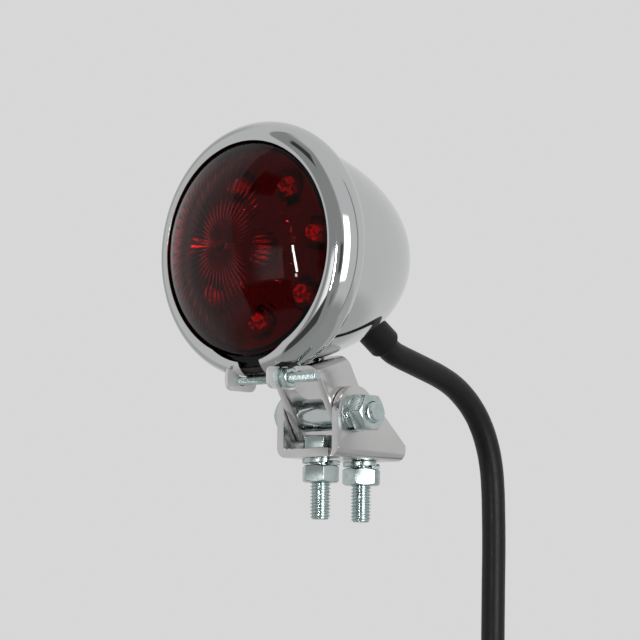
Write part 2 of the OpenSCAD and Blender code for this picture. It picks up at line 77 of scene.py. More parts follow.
RIGHT: Place = (1.0, 0.0, 0.0)
LEFT: Place = (-1.0, 0.0, 0.0)
REAR: Place = (0.0, 1.0, 0.0)
FRONT: Place = (0.0, -1.0, 0.0)
UP: Place = (0.0, 0.0, 1.0)
CENTRE: Place = (0.0, 0.0, 0.0)


class Body(Enum):
    """The two bodies that the tilt hinge joins."""

    BASE = "base"
    LAMP = "lamp"


class Blend(Enum):
    """What a boolean does with its second shape."""

    REMOVE = "DIFFERENCE"
    KEEP = "INTERSECT"
    UNITE = "UNION"


class Slot(Enum):
    """Slots of the record that the dressed pieces belong to."""

    CHROME = "chrome_plate"
    ZINC = "zinc_steel"
    LENS = "smoked_lens"
    RUBBER = "gasket_rubber"
    BRIGHT = "bright_plastic"
    SLEEVE = "sleeve_black"
    WIRE_RED = "wire_red"
    WIRE_YELLOW = "wire_yellow"
    WIRE_BLACK = "wire_black"
    TINNED = "tinned_copper"


def linear(code: str) -> tuple[float, float, float, float]:
    """Turn an sRGB hex colour into linear RGBA.

    Args:
        code: colour as #rrggbb.

    Returns:
        The four linear components.
    """
    parts = [int(code[i:i + 2], 16) / 255 for i in (1, 3, 5)]
    red, green, blue = [p / 12.92 if p <= 0.04045 else ((p + 0.055) / 1.055) ** 2.4 for p in parts]
    return red, green, blue, 1.0


def add_node(tree: Tree, kind: str, values: dict[Any, Any] | None = None,
             links: dict[Any, Socket] | None = None, **settings: Any) -> bpy.types.Node:
    """Add a node with its settings, its input values and its links.

    Args:
        tree: node tree that takes the node.
        kind: Blender's name of the node type.
        values: input name or index and the constant set there.
        links: input name or index and the output socket joined to it.
        settings: properties of the node itself.

    Returns:
        The new node.
    """
    node = tree.nodes.new(kind)
    for key, value in settings.items():
        setattr(node, key, value)
    for key, value in (values or {}).items():
        node.inputs[key].default_value = value
    for key, socket in (links or {}).items():
        tree.links.new(socket, node.inputs[key])
    return node


def reckon(tree: Tree, operation: str, *terms: Any) -> Socket:
    """Add a maths node.

    Args:
        tree: node tree that takes the node.
        operation: Blender's name of the sum.
        terms: numbers or sockets, in the order of the node's inputs.

    Returns:
        The socket of the result.
    """
    links = {i: term for i, term in enumerate(terms) if isinstance(term, Socket)}
    values = {i: term for i, term in enumerate(terms) if i not in links}
    return add_node(tree, "ShaderNodeMath", values, links, operation=operation).outputs[0]


def ramp(tree: Tree, socket: Socket, limits: Point, ends: Point = (0.0, 1.0),
         eased: bool = False) -> Socket:
    """Add a node that maps one range of values to another and holds its ends.

    Args:
        tree: node tree that takes the node.
        socket: the value to map.
        limits: first and last value that come in.
        ends: what they turn into.
        eased: whether the way between them starts and stops gently.

    Returns:
        The socket of the result.
    """
    values = {"From Min": limits[0], "From Max": limits[1], "To Min": ends[0], "To Max": ends[1]}
    return add_node(tree, "ShaderNodeMapRange", values, {"Value": socket},
                    interpolation_type="SMOOTHSTEP" if eased else "LINEAR").outputs[0]


def empty_tree(owner: bpy.types.Material | bpy.types.World) -> Tree:
    """Give a material or a world an empty node tree.

    Args:
        owner: the material or the world.

    Returns:
        The tree.
    """
    owner.use_nodes = True
    owner.node_tree.nodes.clear()
    return owner.node_tree


@dataclass(frozen=True)
class Finish:
    """One real material: colour, gloss and the small unevenness that the eye reads in it, and where lit
    is set, painted glints.

    Attributes:
        name: material name, after the real stuff and how its surface was made.
        colour: main colour.
        mottle: colour of its spots.
        gloss: roughness from its smoothest to its dullest place.
        grain: size of the spots in mm.
        relief: height of the bumps in mm.
        metal: 1 for bare or plated metal.
        stretch: how much longer the grain is along x, y and z.
        glow: light let through, from 0 to 1.
        detail: how many finer sizes of grain lie over the first.
        shine: strength of the mirror-like part of a surface that isn't metal.
        ior: index of refraction.
        spread: values of the noise where the gloss starts and stops changing.
        painted_glint: strength of the painted glints, a glow put in its brightest spots.
        painted_glint_spread: values of the noise where the painted glints begin and where they are full.
        painted_glint_y: places along y in mm where the painted glints begin and where they are full.
        painted_glint_y: places along y in mm where that light begins and where it is full.
    """

    name: str
    colour: str
    mottle: str
    gloss: Point
    grain: float
    relief: float
    metal: float = 0.0
    stretch: Place = (1.0, 1.0, 1.0)
    glow: float = 0.0
    detail: float = 3.0
    shine: float = 0.5
    ior: float = 1.5
    spread: Point = (0.3, 0.7)
    painted_glint: float = 0.0
    painted_glint_spread: Point = (0.4, 0.78)
    painted_glint_y: Point = (0.0, 0.0)

    def build(self) -> bpy.types.Material:
        """Make the procedural material from the finish's values.

        Returns:
            The material.
        """
        material = bpy.data.materials.new(self.name)
        tree = empty_tree(material)
        place = add_node(tree, "ShaderNodeTexCoord").outputs["Object"]
        laid = add_node(tree, "ShaderNodeMapping", {"Scale": [1 / s for s in self.stretch]},
                        {"Vector": place}).outputs[0]
        grain = {"Scale": 1 / (self.grain * MM), "Detail": self.detail}
        noise = add_node(tree, "ShaderNodeTexNoise", grain, {"Vector": laid}).outputs[0]
        tint = add_node(tree, "ShaderNodeMix", {6: linear(self.colour), 7: linear(self.mottle)},
                        {0: noise}, data_type="RGBA").outputs[2]
        bump = add_node(tree, "ShaderNodeBump", {"Strength": 1.0, "Distance": self.relief * MM},
                        {"Height": noise}).outputs[0]
        shader = add_node(tree, "ShaderNodeBsdfPrincipled",
                          {"Metallic": self.metal, "Transmission Weight": self.glow, "IOR": self.ior,
                           "Specular IOR Level": self.shine},
                          {"Base Color": tint, "Roughness": ramp(tree, noise, self.spread, self.gloss),
                           "Normal": bump})
        # Painted glints: an emission in the material's own colour in the brightest spots of the noise,
        # growing along y towards the front.
        if self.painted_glint:
            axes = add_node(tree, "ShaderNodeSeparateXYZ", links={"Vector": place})
            ends = (self.painted_glint_y[0] * MM, self.painted_glint_y[1] * MM)
            painted_glint_power = reckon(tree, "MULTIPLY", ramp(tree, noise, self.painted_glint_spread, (0.0, self.painted_glint)),
                           ramp(tree, axes.outputs["Y"], ends))
            tree.links.new(painted_glint_power, shader.inputs["Emission Strength"])
            tree.links.new(tint, shader.inputs["Emission Color"])
        add_node(tree, "ShaderNodeOutputMaterial", links={"Surface": shader.outputs[0]})
        return material


# Bright chrome over polished steel: a mirror with faint ripples from the press and the polishing wheel
CHROME_SPUN = Finish("chrome_plate_spun_polished", "#d2d3d3", "#c8cacb", (0.03, 0.07), 16.0, 0.012, 1.0)
# The same plate on bent strip: bright, with a haze since the strip is less polished before plating
CHROME_SHEET = Finish("chrome_plate_bent_strip", "#d6d5d4", "#cbcaca", (0.15, 0.25), 11.0, 0.02, 1.0)
# The same plate on the clamp's pressed ears: left unpolished, so it blurs what lies near it
CHROME_EAR = Finish("chrome_plate_pressed_unpolished", "#f0f0ef", "#e6e6e6", (0.36, 0.46), 9.0, 0.01, 0.7)
# Zinc-plated steel, blue passivated: bluish grey, dull beside the chrome, with cloudy spots
ZINC = Finish("zinc_plate_passivated", "#cfdad8", "#b0c0c0", (0.16, 0.34), 1.6, 0.006, 1.0)
# Plated steel tube: half bright, with fine lines along its length
TUBE = Finish("steel_tube_plated_satin", "#d0d5d5", "#bcc2c2", (0.09, 0.2), 1.2, 0.008, 1.0,
              (14.0, 1.0, 1.0))
# Moulded rubber: black, soft sheen, with a fine grain
RUBBER = Finish("nitrile_rubber_moulded", "#0e0e0f", "#171718", (0.42, 0.6), 0.9, 0.02, shine=0.22)
# Cut gasket rubber: brownish black and matt, with a fine grain
GASKET = Finish("nitrile_rubber_gasket", "#2a2522", "#332d2a", (0.42, 0.6), 0.9, 0.02, shine=0.22)
# Extruded vinyl sleeve: black, with an even fine grain
SLEEVE = Finish("vinyl_sleeve_extruded", "#101011", "#19191a", (0.34, 0.5), 1.4, 0.02, shine=0.26)
# Metallised plastic: a grey mirror, with the orange peel of the lacquer under it
BRIGHT = Finish("metallised_plastic", "#959391", "#8a898c", (0.1, 0.2), 3.0, 0.006, 1.0)
# Glass-fibre laminate under solder mask: green and satin, with the weave just showing
LAMINATE = Finish("glass_laminate_solder_mask", "#1d5a34", "#26683e", (0.3, 0.45), 0.8, 0.006)
# Cast epoxy of the diodes: clear red and shiny, with painted glints: a red glow in spots near their front
# ends stands in for lamplight thrown back out of the lamp
DIODE_WITH_PAINTED_GLINT = Finish("red_epoxy_cast_painted_glint", "#b3141a", "#c8202a", (0.05, 0.12), 1.5, 0.002, glow=0.6, painted_glint=2.0,
               painted_glint_y=(-33.8, -37.2))
# Moulded black plastic of the resistors: satin
BLACK = Finish("epoxy_moulded_black", "#1c1c1d", "#2a2a2b", (0.4, 0.55), 0.7, 0.006)
# Moulded ivory nylon of the terminal: satin, slightly mottled
IVORY = Finish("nylon_moulded_ivory", "#d8d0ba", "#cac2ab", (0.35, 0.5), 1.2, 0.006)
# Vinyl insulation of the wires: plain colour with a waxy sheen
WIRE_RED = Finish("vinyl_insulation_red", "#a81c1c", "#b82a26", (0.3, 0.42), 0.9, 0.006)
WIRE_YELLOW = Finish("vinyl_insulation_yellow", "#c99e1c", "#d6ae30", (0.3, 0.42), 0.9, 0.006)
WIRE_BLACK = Finish("vinyl_insulation_black", "#161616", "#222222", (0.3, 0.42), 0.9, 0.006)
# Tinned copper strands: soft silver, dulled by solder
TINNED = Finish("tinned_copper_strands", "#b9b6ae", "#a39f96", (0.22, 0.4), 0.6, 0.01, 1.0)
# Smoked red acrylic, moulded: nearly black, red only where light comes back, with faint flow marks
SMOKED = Finish("smoked_red_acrylic_moulded", "#a2282c", "#a2282c", (0.015, 0.015), 22.0, 0.004, glow=1.0,
                detail=1.0, ior=1.27)
# Matt paper of the studio's floor: pale and even
PAPER = Finish("matt_paper", "#dedcd9", "#d9d7d4", (0.8, 0.95), 40.0, 0.0)


def clear_selection() -> None:
    """Leave edit mode and deselect everything."""
    if bpy.context.mode != "OBJECT":
        bpy.ops.object.mode_set(mode="OBJECT")
    bpy.ops.object.select_all(action="DESELECT")


def take_up(obj: Thing) -> None:
    """Select one object alone and make it active.

    Args:
        obj: the object.
    """
    clear_selection()
    obj.select_set(True)
    bpy.context.view_layer.objects.active = obj


def open_up(obj: Thing) -> None:
    """Open a mesh for editing, with everything selected and its doubles merged.

    Args:
        obj: object with the mesh.
    """
    take_up(obj)
    bpy.ops.object.mode_set(mode="EDIT")
    bpy.ops.mesh.select_all(action="SELECT")
    bpy.ops.mesh.remove_doubles(threshold=WELD)


def mend(obj: Thing) -> Thing:
    """Merge the doubles of a mesh and turn its faces outwards.

    Args:
        obj: object with the mesh.

    Returns:
        The same object.
    """
    open_up(obj)
    bpy.ops.mesh.normals_make_consistent(inside=False)
    bpy.ops.object.mode_set(mode="OBJECT")
    return obj


def apply_all(obj: Thing) -> None:
    """Apply the modifiers of an object in order.

    Args:
        obj: the object.
    """
    take_up(obj)
    for modifier in list(obj.modifiers):
        bpy.ops.object.modifier_apply(modifier=modifier.name)


def combine(obj: Thing, tool: Thing, blend: Blend) -> Thing:
    """Cut, keep or unite one closed shape with another, which is used up.

    Args:
        obj: shape that stays.
        tool: shape that is used up.
        blend: what happens with the tool.

    Returns:
        The first shape, changed.
    """
    modifier = obj.modifiers.new(blend.value.lower(), "BOOLEAN")
    modifier.operation = blend.value
    modifier.object = tool
    modifier.solver = "EXACT"
    apply_all(obj)
    bpy.data.objects.remove(tool)
    return obj


def ease_edges(obj: Thing, width: float, angle: float = 35.0, segments: int = 2) -> None:
    """Round the sharp edges of a shape.

    Args:
        obj: shape to ease.
        width: width of the rounding in mm.
        angle: least angle in degrees between faces at an edge that is rounded.
        segments: faces across the rounding.
    """
    modifier = obj.modifiers.new("ease", "BEVEL")
    modifier.limit_method = "ANGLE"
    modifier.angle_limit = math.radians(angle)
    modifier.width = width * MM
    modifier.segments = segments
    apply_all(obj)


def arc(centre: Point, semi: Point, start: float, end: float, steps: int) -> list[Point]:
    """Points on an ellipse.

    Args:
        centre: its middle.
        semi: its half axes.
        start: first angle in degrees.
        end: last angle in degrees.
        steps: pieces that the arc is cut into.

    Returns:
        The points from the first angle to the last.
    """
    angles = [math.radians(start + (end - start) * i / steps) for i in range(steps + 1)]
    return [(centre[0] + semi[0] * math.cos(a), centre[1] + semi[1] * math.sin(a)) for a in angles]


def soften(points: Sequence[Point], size: float, closed: bool, steps: int = 3, flat: float = 20.0,
           share: float = 2.2) -> list[Point]:
    """Round the corners of an outline.

    Args:
        points: corners in order.
        size: distance from a corner to where its rounding starts.
        closed: whether the last point joins the first.
        steps: pieces of each rounding.
        flat: corners that turn by less than this in degrees stay as they are.
        share: how many times as long as its rounding a side is at least.

    Returns:
        The outline with its corners rounded.
    """
    made: list[Point] = []
    count = len(points)
    for i, corner in enumerate(points):
        if not closed and i in (0, count - 1):
            made.append(corner)
            continue
        here = Vector(corner)
        before, after = Vector(points[i - 1]) - here, Vector(points[(i + 1) % count]) - here
        if abs(math.pi - before.angle(after)) < math.radians(flat):
            made.append(corner)
            continue
        reach = min(size, before.length / share, after.length / share)
        first, last = here + before.normalized() * reach, here + after.normalized() * reach
        for k in range(steps + 1):
            t = k / steps
            made.append(tuple(first * (1 - t) ** 2 + here * (2 * t * (1 - t)) + last * t ** 2))
    return made


def drawn_line(name: str, points: Sequence[Vector]) -> Thing:
    """Draw a chain of edges by extruding a single vertex from point to point.

    Args:
        name: name of the object.
        points: places in metres.

    Returns:
        The object, left in edit mode with everything selected.
    """
    clear_selection()
    bpy.ops.mesh.primitive_plane_add(size=MM)
    obj = bpy.context.object
    obj.name = obj.data.name = name
    bpy.ops.object.mode_set(mode="EDIT")
    bpy.ops.mesh.select_all(action="SELECT")
    bpy.ops.mesh.merge(type="CENTER")
    bpy.ops.transform.translate(value=points[0])
    for here, there in zip(points, points[1:]):
        bpy.ops.mesh.extrude_vertices_move(TRANSFORM_OT_translate={"value": there - here})
    bpy.ops.mesh.select_all(action="SELECT")
    return obj


def upright(profile: Sequence[Point]) -> list[Vector]:
    """Places in metres of a profile given by radius and height in mm."""
    return [Vector((r, 0, z)) * MM for r, z in profile]


def turned(name: str, profile: Sequence[Point], closed: bool, steps: int = 96) -> Thing:
    """Turn a profile about the z axis, as on a lathe.

    Args:
        name: name of the object.
        profile: radius and height of each point in mm.
        closed: whether the last point joins the first, as in a ring.
        steps: faces round the axis.

    Returns:
        The closed solid, standing on the origin.
    """
    points = upright(profile)
    obj = drawn_line(name, points + points[:1] if closed else points)
    bpy.ops.mesh.spin(steps=steps, angle=2 * math.pi, center=CENTRE, axis=UP)
    return mend(obj)


def wound(obj: Thing, sweep: float, rise: float, steps: int, turns: int = 1) -> None:
    """Wind an outline about the z axis, and leave it open for editing.

    Args:
        obj: object with the outline.
        sweep: degrees of one turn.
        rise: climb in mm of one turn.
        steps: faces in one turn.
        turns: number of turns.
    """
    wind = obj.modifiers.new("wind", "SCREW")
    wind.axis, wind.angle, wind.screw_offset = "Z", math.radians(sweep), rise * MM
    wind.steps = wind.render_steps = steps
    wind.iterations = turns
    apply_all(obj)
    open_up(obj)


def slab(name: str, outline: Sequence[Point], low: float, high: float) -> Thing:
    """Fill an outline in the x-y plane and extrude it along z.

    Args:
        name: name of the object.
        outline: corners in mm.
        low: height of its underside in mm.
        high: height of its top in mm.

    Returns:
        The closed solid.
    """
    points = [Vector((x, y, low)) * MM for x, y in outline]
    obj = drawn_line(name, points + points[:1])
    bpy.ops.mesh.remove_doubles(threshold=WELD)
    bpy.ops.mesh.edge_face_add()
    bpy.ops.mesh.extrude_region_move(TRANSFORM_OT_translate={"value": (0, 0, (high - low) * MM)})
    return mend(obj)


def block(name: str, x: Point, y: Point, z: Point) -> Thing:
    """Plain block between two corners."""
    return slab(name, [(x[0], y[0]), (x[1], y[0]), (x[1], y[1]), (x[0], y[1])], z[0], z[1])


def set_down(obj: Thing, origin: Place, along: Place, out: Place) -> Thing:
    """Put a shape made about the z axis in its place, and leave its object at the origin.

    Args:
        obj: shape to place.
        origin: where its own origin goes, in mm.
        along: direction of its z axis.
        out: direction of its x axis.

    Returns:
        The same object.
    """
    z, x = Vector(along).normalized(), Vector(out).normalized()
    turn = Matrix((x, z.cross(x), z)).transposed().to_4x4()
    obj.matrix_world = Matrix.Translation(Vector(origin) * MM) @ turn
    take_up(obj)
    bpy.ops.object.transform_apply(location=True, rotation=True, scale=True)
    return obj


def spoke(degrees: float) -> Place:
    """Direction at an angle from x about the z axis."""
    return math.cos(math.radians(degrees)), math.sin(math.radians(degrees)), 0.0


def on_lamp(obj: Thing) -> Thing:
    """Put a shape that was turned about z on the lamp's axis, its z becoming f."""
    return set_down(obj, (0, 0, AXIS_Z), FRONT, RIGHT)


def copied(obj: Thing, name: str) -> Thing:
    """Copy an object with a mesh of its own.

    Args:
        obj: object to copy.
        name: name of the copy.

    Returns:
        The copy.
    """
    twin = obj.copy()
    twin.data = obj.data.copy()
    twin.name = twin.data.name = name
    bpy.context.scene.collection.objects.link(twin)
    return twin


def joined(objects: Sequence[Thing], name: str) -> Thing:
    """Join objects into one mesh of separate shells.

    Args:
        objects: objects to join.
        name: name of what comes out.

    Returns:
        The first object, which holds all the shells.
    """
    take_up(objects[0])
    for obj in objects[1:]:
        obj.select_set(True)
    bpy.ops.object.join()
    first = objects[0]
    first.name = first.data.name = name
    return first


def fit_piece(obj: Thing, body: Body, slot: Slot, material: bpy.types.Material,
              *nodes: str, angle: float | None = 32.0) -> Thing:
    """Shade a finished piece, and give it its material, its body and the nodes that it stands for.

    Args:
        obj: the piece.
        body: body that it rides on.
        slot: record's slot that its finish belongs to; not used.
        material: finish to put on.
        nodes: CAD nodes that it replaces.
        angle: edges sharper than this in degrees stay sharp; None for a curve.

    Returns:
        The same object.
    """
    if angle is not None:
        take_up(obj)
        bpy.ops.object.shade_smooth_by_angle(angle=math.radians(angle))
    obj.data.materials.clear()
    obj.data.materials.append(material)
    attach(obj, body.value)
    if nodes:
        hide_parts(*nodes)
    LOG.info("%s: rides on %s, stands for %s", obj.name, body.value, ", ".join(nodes) or "no node")
    return obj


@dataclass(frozen=True)
class Thread:
    """Metric thread and the hexagon that goes with it, in mm.

    Attributes:
        radius: outer radius.
        pitch: rise in one turn.
        flats: width of its hexagons across flats.
        nut: height of its nut.
    """

    radius: float
    pitch: float
    flats: float = 0.0
    nut: float = 0.0


M6 = Thread(3.0, 1.0, 10.0, 5.0)
M4 = Thread(2.0, 0.7)
M3 = Thread(1.5, 0.5, 5.5, 2.7)


@dataclass
class Fastener:
    """Shared shapes of the screws, nuts and washers, made about the z axis.

    Attributes:
        steps: faces in one turn of a thread.
        flank: where a flank starts and ends, as shares of the pitch.
        root: depth of a thread as a share of its pitch.
        lead_in: turns of thread below a rod's end before it is cut; no row of points lies in the cut.
        slack: how far a trimming shape reaches past what it trims.
        face: width of a hexagon's round end face as a share of its flats.
        hex_slope: slope in degrees of a hexagon's turned corners.
        hex_over: how far the barrel that turns them off reaches past them.
        hex_barrel: faces of that barrel, so many that none of its edges meets a corner.
        hex_ease: rounding of a hexagon's edges and the least angle that is rounded.
        sink: countersink of a nut.
        pan_side: height of a pan head's straight side as a share of the head.
        pan_ease: rounding of a pan head's edges and the least angle that is rounded.
        washer_round: rounding of a flat washer's edges.
        spring: inner radius, outer radius and thickness of an M6 spring washer.
        spring_round: rounding of a spring washer's edges.
    """

    steps: int = 28
    flank: Point = (0.14, 0.44)
    root: float = 0.54
    lead_in: float = 1.52
    slack: float = 0.02
    face: float = 0.96
    hex_slope: float = 30.0
    hex_over: float = 0.2
    hex_barrel: int = 70
    hex_ease: Point = (0.12, 24.0)
    sink: float = 0.35
    pan_side: float = 0.35
    pan_ease: Point = (0.08, 40.0)
    washer_round: float = 0.15
    spring: Place = (3.2, 5.5, 1.4)
    spring_round: float = 0.22

    def rod(self, thread: Thread, low: float, high: float, tip: float) -> Thing:
        """Threaded rod with chamfered ends.

        Args:
            thread: its thread.
            low: height of its lower end.
            high: height of its upper end.
            tip: chamfer of both ends.

        Returns:
            The closed solid.
        """
        radius, pitch = thread.radius, thread.pitch
        core = radius - self.root * pitch
        start = low - self.lead_in * pitch
        foot, crest = self.flank
        shape = [(core, 0.0), (core, foot), (radius, crest), (radius, 1 - crest), (core, 1 - foot),
                 (core, 1.0)]
        obj = drawn_line("rod", upright([(r, start + pitch * t) for r, t in shape]))
        wound(obj, 360, pitch, self.steps, math.ceil((high - low) / pitch) + 3)
        for height, keep_above in ((low, True), (high, False)):
            bpy.ops.mesh.select_all(action="SELECT")
            bpy.ops.mesh.bisect(plane_co=(0, 0, height * MM), plane_no=UP, use_fill=True,
                                clear_inner=keep_above, clear_outer=not keep_above, threshold=WELD)
        bpy.ops.mesh.select_all(action="SELECT")
        bpy.ops.mesh.quads_convert_to_tris(quad_method="FIXED", ngon_method="BEAUTY")
        mend(obj)
        over, past = radius + self.slack, self.slack / 2
        outline = [(0, low - past), (radius - tip, low - past), (over, low + tip), (over, high - tip),
                   (radius - tip, high + past), (0, high + past)]
        return combine(obj, turned("blank", outline, False, 48), Blend.KEEP)

    def hexagon(self, name: str, flats: float, low: float, high: float, cut_low: bool,
                cut_high: bool) -> Thing:
        """Hexagon with flats facing x, its corners turned off at the ends that show.

        Args:
            name: name of the object.
            flats: width across flats.
            low: height of its underside.
            high: height of its top.
            cut_low: whether the lower corners are turned off.
            cut_high: whether the upper corners are turned off.

        Returns:
            The closed solid with eased edges.
        """
        clear_selection()
        corner, face = flats / math.sqrt(3), flats / 2 * self.face
        bpy.ops.mesh.primitive_cylinder_add(vertices=6, radius=corner * MM, depth=(high - low) * MM,
                                            location=(0, 0, (high + low) / 2 * MM))
        obj = bpy.context.object
        obj.name = obj.data.name = name
        bpy.ops.object.transform_apply(location=True, rotation=True, scale=True)
        over = corner + self.hex_over
        drop = (over - face) * math.tan(math.radians(self.hex_slope))
        ends = []
        for end, cut, way in ((low, cut_low, 1), (high, cut_high, -1)):
            plain = end - way * self.slack
            ends.append([(0, end), (face, end), (over, end + way * drop)] if cut
                        else [(0, plain), (over, plain), (over, end)])
        combine(obj, turned("barrel", ends[0] + ends[1][::-1], False, self.hex_barrel), Blend.KEEP)
        ease_edges(obj, *self.hex_ease)
        return obj

    def nut(self, name: str, thread: Thread) -> Thing:
        """Hexagon nut from z = 0 up, with a countersunk bore.

        Args:
            name: name of the object.
            thread: thread that it goes on.

        Returns:
            The closed solid.
        """
        bore, height, sink, past = thread.radius, thread.nut, self.sink, 0.1
        obj = self.hexagon(name, thread.flats, 0, height, True, True)
        tool = turned("bore", [(0, -past), (bore + sink, -past), (bore, sink), (bore, height - sink),
                               (bore + sink, height + past), (0, height + past)], False, 48)
        return combine(obj, tool, Blend.REMOVE)

    def pan_head(self, name: str, radius: float, height: float, cross: Point) -> Thing:
        """Low domed head from z = 0 up, with a cross recess.

        Args:
            name: name of the object.
            radius: radius of the head.
            height: height of the head.
            cross: length and width of the recess.

        Returns:
            The closed solid.
        """
        side = height * self.pan_side
        dome = arc((0, side), (radius, height - side), 0, 90, 10)
        obj = turned(name, [(0, 0), (radius, 0), *dome], False, 64)
        for x, y in (cross, cross[::-1]):
            recess = block("recess", (-x / 2, x / 2), (-y / 2, y / 2), (side, height + 1))
            combine(obj, recess, Blend.REMOVE)
        ease_edges(obj, *self.pan_ease)
        return obj

    def washer(self, name: str, inner: float, outer: float, height: float) -> Thing:
        """Flat washer from z = 0 up with rounded edges."""
        outline = [(inner, 0), (outer, 0), (outer, height), (inner, height)]
        return turned(name, soften(outline, self.washer_round, True), True, 72)

    def spring_washer(self, name: str, rise: float, sweep: float) -> Thing:
        """Split M6 washer wound along z, with square cut ends.

        Args:
            name: name of the object.
            rise: climb from one end to the other.
            sweep: degrees that it goes round.

        Returns:
            The closed solid, its first end on the x axis.
        """
        inner, outer, height = self.spring
        corners = [(inner, 0), (outer, 0), (outer, height), (inner, height)]
        outline = soften(corners, self.spring_round, True)
        obj = drawn_line(name, upright([*outline, outline[0]]))
        bpy.ops.mesh.remove_doubles(threshold=WELD)
        wound(obj, sweep, rise, 72)
        bpy.ops.mesh.fill_holes(sides=0)
        return mend(obj)


@dataclass(frozen=True)
class Patch:
    """One lamp, screen or dark card of the studio, as a patch of the sky round the object.

    Attributes:
        across: first and last azimuth in degrees, counted from the front (-Y) towards +X.
        up: lowest and highest elevation in degrees.
        level: brightness.
        soft: widths in degrees of its left, right, lower and upper edge.
        slant: degrees of azimuth that it leans for each degree of elevation.
        curve: degrees of azimuth that it bends for each square degree of elevation.
    """

    across: Point
    up: Point
    level: float
    soft: tuple[float, float, float, float] = (5.0, 5.0, 5.0, 5.0)
    slant: float = 0.0
    curve: float = 0.0


@dataclass
class Studio:
    """Camera, tent of light and floor.

    Attributes:
        azimuth: camera's direction in degrees, from the front (-Y) towards +X.
        elevation: camera's height in degrees above level.
        roll: camera's roll in degrees.
        aim: place in mm that the camera looks at, across and up in its own picture.
        distance: camera's distance in mm.
        focal: focal length in mm.
        sensor: width of the sensor in mm.
        clip: nearest and furthest distance in metres that the camera sees.
        tent: brightness of the sky where no patch lies.
        floor_z: height of the floor in mm.
        floor_size: width of the floor in metres.
        patches: lamps and cards, a later one over an earlier one.
    """

    azimuth: float = 41.84
    elevation: float = -5.279
    roll: float = 0.804
    aim: Point = (-6.842, 41.077)
    distance: float = 1347.72
    focal: float = 257.43
    sensor: float = 36.0
    clip: Point = (0.05, 50.0)
    tent: float = 0.68
    floor_z: float = -120.0
    floor_size: float = 6.0
    patches: tuple[Patch, ...] = (
        Patch((-190, 190), (-95, -39), 0.36, (5, 5, 5, 14)),
        Patch((128, 190), (-46, -20), 0.5, (8, 5, 5, 10)),
        Patch((-190, -128), (-46, -20), 0.5, (5, 8, 5, 10)),
        Patch((-114, -84), (-40, 45), 0.48, (10, 12, 20, 20)),
        Patch((-25.3, 62), (-62, 72), 0.33, (2, 16, 16, 14), 0.22, 0.0065),
        Patch((39, 48), (-38, -28), 0.19, (6, 6, 6, 6)),
        Patch((-30, -2), (40, 56), 0.05, (4, 4, 4, 4)),
        Patch((-25, 20), (-44, -22), 0.06, (4, 4, 6, 4)),
        Patch((-6, 14.5), (-20.5, 2), 1.3, (16, 1.5, 1.5, 6)),
        Patch((42, 56), (-15, 5), 0.08, (4, 4, 4, 4)),
        Patch((62, 88), (-22, 24), 5.0, (6, 6, 6, 6)),
        Patch((123, 129), (-45, 50), 0.3, (2, 2, 8, 8)),
        Patch((21.9, 23.7), (-16.5, 3.7), 90.0, (0.6, 0.6, 0.6, 0.6), 0.16),
        Patch((23.3, 25.3), (-20.3, -18), 40.0, (0.6, 0.6, 0.6, 0.6)),
    )

    def camera(self) -> None:
        """Set up the camera where the photograph was taken from."""
        a, e, roll = (math.radians(v) for v in (self.azimuth, self.elevation, self.roll))
        back = Vector((math.sin(a) * math.cos(e), -math.cos(a) * math.cos(e), math.sin(e)))
        level = Vector((math.cos(a), math.sin(a), 0))
        raised = back.cross(level)
        right = level * math.cos(roll) + raised * math.sin(roll)
        up = raised * math.cos(roll) - level * math.sin(roll)
        data = bpy.data.cameras.new("camera")
        data.lens, data.sensor_width = self.focal, self.sensor
        data.clip_start, data.clip_end = self.clip
        obj = bpy.data.objects.new("camera", data)
        bpy.context.scene.collection.objects.link(obj)
        turn = Matrix((right, up, back)).transposed().to_4x4()
        place = (back * self.distance + level * self.aim[0] + raised * self.aim[1]) * MM
        obj.matrix_world = Matrix.Translation(place) @ turn
        bpy.context.scene.camera = obj
        LOG.info("camera set at %.1f degrees", self.azimuth)

    def band(self, tree: Tree, socket: Socket, limits: Point, soft: Point) -> Socket:
        """Mask of the directions between two angles.

        Args:
            tree: world's node tree.
            socket: the angle in radians.
            limits: first and last angle in degrees.
            soft: widths of the soft edges there, in degrees.

        Returns:
            A socket that is 1 inside the band and 0 outside.
        """
        masks = []
        for limit, reach in ((limits[0], soft[0] / 2), (limits[1], -soft[1] / 2)):
            edge = (math.radians(limit - reach), math.radians(limit + reach))
            masks.append(ramp(tree, socket, edge, eased=True))
        return reckon(tree, "MULTIPLY", *masks)

    def world(self) -> None:
        """Make the tent: an even pale sky with lamps and dark cards in the directions they stood in."""
        world = bpy.data.worlds.new("studio_tent")
        bpy.context.scene.world = world
        tree = empty_tree(world)
        place = add_node(tree, "ShaderNodeTexCoord")
        parts = add_node(tree, "ShaderNodeSeparateXYZ", links={0: place.outputs["Generated"]}).outputs
        azimuth = reckon(tree, "ARCTAN2", parts[0], reckon(tree, "MULTIPLY", parts[1], -1.0))
        height = reckon(tree, "ARCSINE", parts[2])
        level = None
        for patch in self.patches:
            lean = reckon(tree, "MULTIPLY_ADD", height, math.degrees(patch.curve), patch.slant)
            leaning = reckon(tree, "MULTIPLY_ADD", height, lean, azimuth)
            mask = reckon(tree, "MULTIPLY", self.band(tree, leaning, patch.across, patch.soft[:2]),
                          self.band(tree, height, patch.up, patch.soft[2:]))
            links = {0: mask} if level is None else {0: mask, 2: level}
            level = add_node(tree, "ShaderNodeMix", {2: self.tent, 3: patch.level}, links).outputs[0]
        path = add_node(tree, "ShaderNodeLightPath")
        seen = add_node(tree, "ShaderNodeMix", {3: self.tent},
                        {0: path.outputs["Is Camera Ray"], 2: level}).outputs[0]
        sky = add_node(tree, "ShaderNodeBackground", {"Color": (1.0, 1.0, 1.0, 1.0)}, {"Strength": seen})
        add_node(tree, "ShaderNodeOutputWorld", links={"Surface": sky.outputs[0]})

